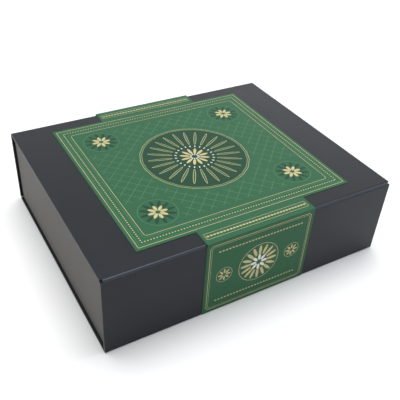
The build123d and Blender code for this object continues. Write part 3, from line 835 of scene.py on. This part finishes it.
# %% Ornament of the strips and of the upright panels
STRIP_Y = 134
for side, word in ((-1, "front"), (1, "back")):
    centre = (0, side * STRIP_Y)
    lozenges(f"lid_{word}_row_print", "lid", 122, 32, 1.3, cream_foil, centre)
    frame_lines(f"lid_{word}_strip_print", "lid", [(*centre, 64, 4.6, 1, 0.4)], cream_foil)


def upright_ornament(face, half_d):
    """Double frame, lozenge rows and a small rosette on an upright strip."""
    frames = [(0, 0, 64, half_d - 4, 5, 0.6), (0, 0, 61.8, half_d - 6.2, 4, 0.3)]
    frame_lines(f"{face}_frame_print", face, frames, cream_foil)
    petals(f"{face}_leaf_print", face, 16, 17, 13, 3.6, cream_foil)
    petals(f"{face}_petal_print", face, 8, 7, 8, 3.6, white_foil)
    rings(f"{face}_ring_print", face, [(26, 0.6), (11.5, 0.4)], cream_foil)
    for side in (-1, 1):
        number = side + 2
        beside = (side * 44, 0)
        lozenges(f"{face}_row_{number}_print", face, 104, 27, 1.1, cream_foil, (0, side * 35))
        petals(f"{face}_side_{number}_print", face, 8, 5, 6, 2.2, cream_foil, beside)
        rings(f"{face}_loop_{number}_print", face, [(10, 0.45)], cream_foil, beside)


upright_ornament("flap", FLAP_MID - PANEL_FOOT)
upright_ornament("spine", SPINE_HALF)
base_frames = [inset_frame(4, 0.9), inset_frame(15.5, 0.9, 4)]
frame_lines("base_frame_print", "base", base_frames, cream_foil)
print("strips and upright panels laid")

# %% [markdown]
# ## Tray fittings, canvases and pad
# These lie under the insert. Magnets and catches are plain metal discs. The stretcher bars are
# planed pine, the pad a block of heavy paper on a board.

# %% Finishes of the fittings, the bars and the pad
METAL = {"Metallic": 1.0}
ALONG_BAR = (0.06, 1, 1)
ALONG_SHEET = (0.05, 0.05, 1)
metal = finish("nickel_disc", (0.60, 0.60, 0.60), 0.3, 0.0006, 0.1, 0.00001, METAL)
pine = finish("planed_pine", (0.62, 0.45, 0.27), 0.6, 0.0012, 0.5, 0.00005, stretch=ALONG_BAR)
pad_board = finish("pad_board", (0.42, 0.35, 0.26), 0.85, 0.0012, 0.3, 0.0001)
pad_paper = finish("pad_paper", (0.82, 0.81, 0.77), 0.8, 0.0003, 0.12, 0.0001, stretch=ALONG_SHEET)
for node, material in (
    ("flap_magnets", metal),
    ("catch_plates", metal),
    ("canvas_1_bars", pine),
    ("canvas_2_bars", pine),
    ("pad_back", pad_board),
    ("pad_sheets", pad_paper),
):
    dress(node, material)

# %% [markdown]
# The canvas is one cloth pulled over the bars and folded on to their back. Its face, four sides
# and four mitred folds are one shell as thick as the primed cloth, and its weave is a relief.

# %% Weave group
G, weave_in, weave_out = new_tree(
    "ShaderNodeTree",
    "plain_weave",
    {"Vector": VECTOR, "Pitch": 0.0008, "Relief": 0.0001},
    {"Height": "NodeSocketFloat", "Normal": VECTOR},
)
waves = axes(G, scaled(G, weave_in["Vector"], math_node(G, "DIVIDE", math.tau, weave_in["Pitch"])))
sines = [math_node(G, "SINE", wave) for wave in waves[:3]]
woven = math_node(G, "ADD", math_node(G, "MULTIPLY", sines[0], sines[1]), sines[2])
height = math_node(G, "MULTIPLY_ADD", woven, 0.25, 0.5)
bump = {"Strength": 1.0, "Distance": weave_in["Relief"], "Height": height}
G.links.new(height, weave_out["Height"])
G.links.new(out(G, "ShaderNodeBump", bump), weave_out["Normal"])
weave_group = G
canvas_cloth, tree, grained, place = new_material(
    "primed_canvas", (0.80, 0.79, 0.75), 0.85, 0.0008, 0.08, 0.0
)
weave_values = {"Vector": place, "Pitch": 0.0009, "Relief": 0.00008}
weave = put(tree, "ShaderNodeGroup", weave_values, node_tree=weave_group)
tree.links.new(weave.outputs["Normal"], tree.nodes["Principled BSDF"].inputs["Normal"])

# %% Stretched cloths
FOLD = 22.0 * MM
CLOTH_T = 0.5 * MM


def stretched_cloth(number):
    """Cloth over one frame of bars, in the place of its CAD solid."""
    low_corner, high_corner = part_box(f"canvas_{number}_cloth")
    x0, y0, z0 = low_corner
    x1, y1, z1 = high_corner
    u0, v0, u1, v1 = x0 + FOLD, y0 + FOLD, x1 - FOLD, y1 - FOLD
    square = ((x0, y0), (x1, y0), (x1, y1), (x0, y1))
    folded = ((u0, v0), (u1, v0), (u1, v1), (u0, v1))
    points = [(x, y, z1) for x, y in square] + [(x, y, z0) for x, y in square + folded]
    faces = [(0, 1, 2, 3)]
    for i in range(4):
        j = (i + 1) % 4
        faces += [(i, 4 + i, 4 + j, j), (4 + i, 8 + i, 8 + j, 4 + j)]
    cloth = mesh_object(f"canvas_{number}_stretched_cloth", points, faces, canvas_cloth)
    solid = cloth.modifiers.new("thickness", "SOLIDIFY")
    solid.thickness = CLOTH_T
    solid.offset = -1.0
    solid.use_even_offset = True
    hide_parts(f"canvas_{number}_cloth")
    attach(cloth, "box")


for number in (1, 2):
    stretched_cloth(number)

# %% [markdown]
# ## Formed insert
# The insert is one sheet of black plastic drawn down over a mould, so it is smooth and a little
# glossy, with a faint orange-peel from the heat.

# %% Insert
INSERT_BLACK = (0.009, 0.0095, 0.0105)
INSERT_SHEEN = {"Specular IOR Level": 0.18}
insert_plastic = finish("formed_plastic", INSERT_BLACK, 0.36, 0.0016, 0.12, 0.00002, INSERT_SHEEN)
dress("insert", insert_plastic)
print("insert dressed")

# %% [markdown]
# ## Paint tubes
# A filled tube is round at the shoulder and flat at the crimp, and its girth stays the same all
# the way, because the laminate doesn't stretch. So each ring's height follows from its width.

# %% Sizes of a tube, as in the CAD
TUBE_PITCH = 56.0 * MM
TUBE_XS = [(i - 2.5) * TUBE_PITCH for i in range(6)]
TUBE_R = 16.0 * MM
TUBE_Z = 66.65 * MM
CRIMP_Y = 133.4 * MM
CRIMP_H = 8.0 * MM
CRIMP_T = 1.6 * MM
SHOULDER_Y = 11.4 * MM
NECK_Y = 5.4 * MM
NECK_R = 6.5 * MM
CRIMP_HALF_W = math.pi * TUBE_R / 2
TUBE_SIDES = 64
TUBE_RINGS = 48
HALVINGS = 30


def oval_height(half_w):
    """Half height that keeps the girth of the round tube."""
    low_h, high_h = CRIMP_T / 2, TUBE_R
    for _ in range(HALVINGS):
        middle = (low_h + high_h) / 2
        root = math.sqrt((3 * half_w + middle) * (half_w + 3 * middle))
        if math.pi * (3 * (half_w + middle) - root) > math.tau * TUBE_R:
            high_h = middle
        else:
            low_h = middle
    return low_h


def widening(share):
    """Share of the widening along the tube, as in the CAD: slow at first, then steady."""
    stations = ((0, 0), (0.4, 0.1), (0.8, 0.62), (1, 1))
    for (s0, w0), (s1, w1) in zip(stations, stations[1:]):
        if share <= s1:
            return w0 + (w1 - w0) * (share - s0) / (s1 - s0)
    return 1.0


# %% Tube material: white laminate with a printed field of the paint's colour
LAMINATE = (0.58, 0.58, 0.565)
LAMINATE_COAT = {"Coat Weight": 0.3, "Coat Roughness": 0.12}
FIELD = (SHOULDER_Y + 14 * MM, CRIMP_Y - 30 * MM)
LINES = (
    (SHOULDER_Y + 9 * MM, SHOULDER_Y + 10.2 * MM),
    (CRIMP_Y - 26 * MM, CRIMP_Y - 24.8 * MM),
)


def banded_tube(name, paint):
    """Glossy laminate, white at both ends, the paint's colour between, with fine dark lines."""
    material, tree, grained, place = new_material(
        name, LAMINATE, 0.3, 0.004, 0.05, 0.00004, LAMINATE_COAT
    )
    y = axes(tree, place)[1]

    def between(low_y, high_y):
        above = math_node(tree, "GREATER_THAN", y, low_y)
        return math_node(tree, "MULTIPLY", above, math_node(tree, "LESS_THAN", y, high_y))

    lines = math_node(tree, "MAXIMUM", between(*LINES[0]), between(*LINES[1]))
    base = mixed(tree, between(*FIELD), (*LAMINATE, 1), (*paint, 1))
    lined = mixed(tree, lines, base, (*DARK_GREEN, 1))
    tree.links.new(lined, grained.inputs["Colour"])
    return material


PAINTS = [
    (0.62, 0.62, 0.61),
    (0.68, 0.38, 0.015),
    (0.58, 0.02, 0.015),
    (0.012, 0.07, 0.38),
    (0.015, 0.2, 0.07),
    (0.02, 0.02, 0.022),
]

# %% Laminate shells
DENT = 0.25 * MM
DENT_LOBES = 9
DENT_RATE = 60


def tube_shell(number, x):
    """Laminate body with shoulder and neck, closed at the crimp."""
    # The turned end: the neck, its collar and the rounded shoulder.
    turned = [
        (NECK_Y - 8 * MM, NECK_R - 0.3 * MM),
        (NECK_Y, NECK_R),
        (NECK_Y, NECK_R + 1.4 * MM),
        (SHOULDER_Y - 1.6 * MM, TUBE_R - 1.7 * MM),
        (SHOULDER_Y - 1.3 * MM, TUBE_R - 0.4 * MM),
        (SHOULDER_Y - 0.8 * MM, TUBE_R),
    ]
    sections = [(y, radius, radius) for y, radius in turned]
    for step in range(TUBE_RINGS + 1):
        share = step / TUBE_RINGS
        half_w = TUBE_R + widening(share) * (CRIMP_HALF_W - TUBE_R)
        half_h = TUBE_R if widening(share) == 0 else oval_height(half_w)
        y = SHOULDER_Y + share * (CRIMP_Y - CRIMP_H - SHOULDER_Y)
        sections.append((y, half_w, max(half_h, CRIMP_T / 2)))
    points = []
    for y, half_w, half_h in sections:
        body = half_w >= TUBE_R and y > SHOULDER_Y
        wave = math.sin(DENT_RATE * (y - SHOULDER_Y) + 2 * number)
        for i, (side_x, side_z) in enumerate(circle(TUBE_SIDES)):
            turn = math.tau * i / TUBE_SIDES
            dent = min(DENT * math.sin(DENT_LOBES * turn + number) * wave, 0) if body else 0
            z = TUBE_Z + max(half_h + dent, CRIMP_T / 3) * side_z
            points.append((x + (half_w + dent) * side_x, y, z))
    faces = ring_faces(len(sections), TUBE_SIDES)
    material = banded_tube(f"tube_{number}_laminate", PAINTS[number - 1])
    shell = mesh_object(f"tube_{number}_laminate", points, faces, material, smooth=True)
    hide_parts(f"tube_{number}")
    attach(shell, "box")


# %% Crimp: the flattened end folded over twice, with its pressed ribs
crimp_material = finish("crimp_laminate", (0.52, 0.52, 0.505), 0.34, 0.002, 0.08, 0.00003)
LYING = (math.pi / 2, 0, 0)
T, crimp_in, crimp_out = geometry_tree(
    "pressed_ribs",
    {"Width": 0.05, "Count": 40, "Rib Length": 0.004, "Rib Radius": 0.0003, "Place": (0, 0, 0)},
)
crimp_tree = T
rod = cylinder(T, 8, crimp_in["Rib Radius"], crimp_in["Rib Length"])
row = row_points(T, crimp_in["Width"], crimp_in["Count"])
placed = instanced(T, row, transformed(T, rod, rotation=LYING))
finish_tree(T, crimp_in, crimp_out, placed, "Place")


def crimp_end(number, x):
    """Folded strip and its ribs at the end of one tube."""
    start_y = CRIMP_Y - CRIMP_H - 0.4 * MM
    half_t = CRIMP_T / 2
    # The fold's edge shows as a fine groove in the middle.
    top = [
        (start_y, half_t * 0.7),
        (start_y + 0.5 * MM, half_t),
        (CRIMP_Y - 4.4 * MM, half_t),
        (CRIMP_Y - 4.1 * MM, half_t * 0.8),
        (CRIMP_Y - 3.8 * MM, half_t),
        (CRIMP_Y - 0.5 * MM, half_t),
        (CRIMP_Y, half_t * 0.5),
    ]
    outer, inner = ([(y, TUBE_Z + side * h) for y, h in top] for side in (1, -1))
    fold = section_strip(f"tube_{number}_crimp", outer, inner, CRIMP_HALF_W, crimp_material)
    fold.data.transform(Matrix.Translation((x, 0, 0)))
    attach(fold, "box")
    values = {
        "Width": 2 * CRIMP_HALF_W - 2 * MM,
        "Count": 46,
        "Rib Length": 2.8 * MM,
        "Rib Radius": 0.25 * MM,
        "Place": (x, CRIMP_Y - 2.1 * MM, TUBE_Z + half_t),
        "Material": crimp_material,
    }
    ribs = grow(f"tube_{number}_ribs", crimp_tree, values, smooth=True)
    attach(ribs, "box")


for number, x in enumerate(TUBE_XS, start=1):
    tube_shell(number, x)
    crimp_end(number, x)
print("tubes", len(TUBE_XS))

# %% [markdown]
# ## Screw caps
# A moulded cap is a slightly conical body with fine grip ribs, a plain rim and a dished end. The
# body is turned, and Geometry Nodes set the ribs round it. Each cap rides on its own body.

# %% Caps
cap_material = finish("cap_plastic", (0.025, 0.025, 0.027), 0.32, 0.001, 0.08, 0.00001)
CAP_Y = 5.1 * MM
CAP_H = 17.0 * MM
CAP_R = 10.7 * MM
CAP_TIP_R = 9.3 * MM
CAP_BORE_R = 6.7 * MM
CAP_SIDES = 72
T, rib_in, rib_out = geometry_tree(
    "grip_ribs",
    {
        "Count": 36,
        "Ring Radius": 0.01,
        "Rib Length": 0.012,
        "Rib Radius": 0.0004,
        "Lean": 0.08,
        "Place": (0, 0, 0),
    },
)
rib_tree = T
ring, facing = round_points(T, rib_in["Count"], rib_in["Ring Radius"])
rod = cylinder(T, 8, rib_in["Rib Radius"], rib_in["Rib Length"])
leaning = transformed(T, rod, rotation=vector_of(T, {1: rib_in["Lean"]}))
placed = instanced(T, ring, leaning, rotation=facing)
finish_tree(T, rib_in, rib_out, transformed(T, placed, rotation=LYING), "Place")


def screw_cap(number, x):
    """Cap body and grip ribs of one tube."""
    front = CAP_Y - CAP_H
    # From the bore round the rim, along the cone and into the dished end.
    profile = [
        (CAP_Y - 9 * MM, CAP_BORE_R),
        (CAP_Y, CAP_BORE_R),
        (CAP_Y, CAP_R - 0.2 * MM),
        (CAP_Y - 0.3 * MM, CAP_R + 0.1 * MM),
        (CAP_Y - 1.6 * MM, CAP_R + 0.1 * MM),
        (CAP_Y - 1.9 * MM, CAP_R - 0.35 * MM),
        (front + 1.2 * MM, CAP_TIP_R),
        (front + 0.4 * MM, CAP_TIP_R - 0.3 * MM),
        (front, CAP_TIP_R - 1.0 * MM),
        (front, CAP_TIP_R - 2.4 * MM),
        (front + 0.5 * MM, CAP_TIP_R - 3.0 * MM),
    ]
    around = circle(CAP_SIDES)
    points = [(x + r * c, y, TUBE_Z + r * s) for y, r in profile for c, s in around]
    faces = ring_faces(len(profile), CAP_SIDES)
    body = mesh_object(f"cap_{number}_body", points, faces, cap_material)
    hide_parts(f"cap_{number}")
    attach(body, f"cap_{number}")
    values = {
        "Count": 40,
        "Ring Radius": (CAP_R + CAP_TIP_R) / 2 - 0.1 * MM,
        "Rib Length": 12.6 * MM,
        "Rib Radius": 0.42 * MM,
        "Lean": math.atan2(CAP_R - 0.35 * MM - CAP_TIP_R, 13.9 * MM),
        "Place": (x, CAP_Y - 8.6 * MM, TUBE_Z),
        "Material": cap_material,
    }
    ribs = grow(f"cap_{number}_ribs", rib_tree, values, smooth=True)
    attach(ribs, f"cap_{number}")


for number, x in enumerate(TUBE_XS, start=1):
    screw_cap(number, x)
print("caps", len(TUBE_XS))

# %% [markdown]
# ## Brushes
# Each brush is a lacquered handle, a metal ferrule pressed from round to flat with two crimped
# rings, and a tuft. The tuft is real strands: Geometry Nodes set tapered hairs side by side.

# %% Handles
BRUSH_LEFT = -167.7 * MM
DIPPED = 32 * MM
WOOD = (0.30, 0.10, 0.04)
DIP = (0.02, 0.02, 0.02, 1)
LACQUER = {"Coat Weight": 0.6, "Coat Roughness": 0.08}
handle_wood, tree, grained, place = new_material(
    "lacquered_wood", WOOD, 0.22, 0.0012, 0.5, 0.00002, LACQUER, (0.05, 1, 1)
)
dip_mask = math_node(tree, "LESS_THAN", axes(tree, place)[0], BRUSH_LEFT + DIPPED)
tree.links.new(mixed(tree, dip_mask, (*WOOD, 1), DIP), grained.inputs["Colour"])
for piece in ("brush_1", "brush_2", "brush_3", "knife"):
    dress(f"{piece}_handle", handle_wood)

# %% Ferrules
FERRULE_X = -9.7 * MM
FERRULE_LEN = 30 * MM
FERRULE_GRIP = 12.0 * MM
FERRULE_T = 0.3 * MM
FERRULE_SIDES = 48
BRUSH_Z = 65.35 * MM
BRUSHES = ((-31.9 * MM, 6.4 * MM), (-59.9 * MM, 12.0 * MM), (-87.9 * MM, 18.0 * MM))
BRUSH_NECK_R = 3.2 * MM
FLAT_HALF_H = 2.1 * MM
ALONG_X = (0.1, 1, 1)
FERRULE_GREY = (0.20, 0.20, 0.204)
ferrule_metal = finish(
    "ferrule_metal", FERRULE_GREY, 0.34, 0.0012, 0.12, 0.00001, METAL, stretch=ALONG_X
)
# Stations in mm from the end on the handle, with the depth of the crimped rings.
CRIMPED = [(0.0, 0.0), (1.5, 0.0), (2.2, 0.25), (2.9, 0.0), (4.6, 0.0), (5.3, 0.25), (6.0, 0.0)]
STATIONS = CRIMPED + [(12.0 + 18.0 * i / 12, 0.0) for i in range(13)]


def ferrule_shell(number, y, width):
    """Thin sleeve with two crimped rings over the handle, eased from round to flat."""
    half_w, half_h = width / 2, min(width / 2, FLAT_HALF_H)
    outer = []
    for at, dip in STATIONS:
        share = max(0.0, (at * MM - FERRULE_GRIP) / (FERRULE_LEN - FERRULE_GRIP))
        ease = share * share * (3 - 2 * share)
        size_w, size_h = (
            BRUSH_NECK_R + ease * (half - BRUSH_NECK_R) - dip * MM for half in (half_w, half_h)
        )
        outer.append((FERRULE_X + at * MM, size_w, size_h))
    inner = [(at, size_w - FERRULE_T, size_h - FERRULE_T) for at, size_w, size_h in reversed(outer)]
    points = [
        (at, y + size_w * side_y, BRUSH_Z + size_h * side_z)
        for at, size_w, size_h in outer + inner
        for side_y, side_z in circle(FERRULE_SIDES)
    ]
    faces = ring_faces(len(outer + inner), FERRULE_SIDES, closed=True)
    shell = mesh_object(f"brush_{number}_sleeve", points, faces, ferrule_metal, smooth=True)
    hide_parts(f"brush_{number}_ferrule")
    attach(shell, "box")


# %% Tufts
BRISTLE_X = 20.3 * MM
BRISTLE_END = 42.3 * MM
BRISTLE_INSET = 0.45 * MM
HAIR_GAP = 0.09
HAIR_PITCH = 0.42 * MM
TIP_R = 0.00004
bristle_material = finish(
    "brown_bristle", (0.26, 0.12, 0.045), 0.42, 0.0004, 0.5, 0.0, stretch=(0.03, 1, 1)
)
T, tuft_in, tuft_out = geometry_tree(
    "brush_tuft",
    {
        "Half Width": 0.008,
        "Half Height": 0.002,
        "Length": 0.024,
        "Hairs": 20,
        "Hair Radius": 0.0002,
        "Squeeze": 0.3,
        "Seed": 3,
        "Place": (0, 0, 0),
    },
)
tuft_tree = T
grid = out(T, "GeometryNodeMeshGrid", {0: 2.0, 1: 2.0, 2: tuft_in["Hairs"], 3: 12})
spot = out(T, "GeometryNodeInputPosition")
outside = math_node(T, "GREATER_THAN", distance(T, "LENGTH", spot), 1.0)
cleared = {"Geometry": grid, "Selection": outside}
oval = out(T, "GeometryNodeDeleteGeometry", cleared, domain="POINT")
flat_spot = axes(T, spot)
scatter = {"Min": (-0.5, -0.5, 0), "Max": (0.5, 0.5, 0), "Seed": tuft_in["Seed"]}
jitter = axes(T, out(T, "FunctionNodeRandomValue", scatter, data_type="FLOAT_VECTOR"))
root_parts = {}
for axis, half_size in enumerate((tuft_in["Half Width"], tuft_in["Half Height"])):
    loose = math_node(T, "MULTIPLY_ADD", jitter[axis], HAIR_GAP, flat_spot[axis])
    root_parts[axis + 1] = math_node(T, "MULTIPLY", loose, half_size)
rooting = {"Geometry": oval, "Position": vector_of(T, root_parts)}
rooted = out(T, "GeometryNodeSetPosition", rooting)
cone = {"Vertices": 4, "Side Segments": 3, "Fill Segments": 1, "Radius Top": TIP_R}
cone |= {"Radius Bottom": tuft_in["Hair Radius"], "Depth": tuft_in["Length"]}
along = transformed(T, out(T, "GeometryNodeMeshCone", cone), rotation=(0, math.pi / 2, 0))
rooted_spot = axes(T, out(T, "GeometryNodeInputPosition"))
tilt_rate = math_node(T, "DIVIDE", tuft_in["Squeeze"], tuft_in["Length"])
tilt_parts = {}
for axis, source, factor in ((1, 2, 2.0), (2, 1, -1.0)):
    rate = math_node(T, "MULTIPLY", rooted_spot[source], tilt_rate)
    tilt_parts[axis] = math_node(T, "MULTIPLY", rate, factor)
tilt = vector_of(T, tilt_parts)
spread = {2: 0.93, 3: 1.0, "Seed": tuft_in["Seed"]}
length_scale = put(T, "FunctionNodeRandomValue", spread, data_type="FLOAT").outputs[1]
hair_scale = vector_of(T, {0: length_scale, 1: 1.0, 2: 1.0})
placed = instanced(T, rooted, along, rotation=tilt, scale=hair_scale)
finish_tree(T, tuft_in, tuft_out, placed, "Place")


def tuft(number, y, width):
    """Strands of one brush."""
    values = {
        "Half Width": width / 2 - BRISTLE_INSET,
        "Half Height": min(width / 2, FLAT_HALF_H) - BRISTLE_INSET,
        "Length": BRISTLE_END - BRISTLE_X,
        "Hairs": round(width / HAIR_PITCH),
        "Hair Radius": 0.2 * MM,
        "Squeeze": 0.5,
        "Seed": number,
        "Place": (BRISTLE_X, y, BRUSH_Z),
        "Material": bristle_material,
    }
    hairs = grow(f"brush_{number}_hairs", tuft_tree, values)
    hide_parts(f"brush_{number}_bristles")
    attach(hairs, "box")
    print(hairs.name, len(hairs.data.polygons), "faces")


for number, (y, width) in enumerate(BRUSHES, start=1):
    ferrule_shell(number, y, width)
    tuft(number, y, width)

# %% [markdown]
# ## Palette knife and palette
# The blade is ground along its length, so its grain is long and fine. The palette is plain white
# moulded plastic, nearly smooth.

# %% Blade and palette
STEEL = (0.15, 0.15, 0.153)
GROUND = (0.04, 1, 1)
blade_steel = finish("ground_steel", STEEL, 0.42, 0.0004, 0.2, 0.00001, METAL, stretch=GROUND)
dress("knife_blade", blade_steel)
palette_plastic = finish("white_plastic", (0.50, 0.50, 0.49), 0.35, 0.003, 0.04, 0.00001)
dress("palette", palette_plastic)
print("knife and palette dressed")
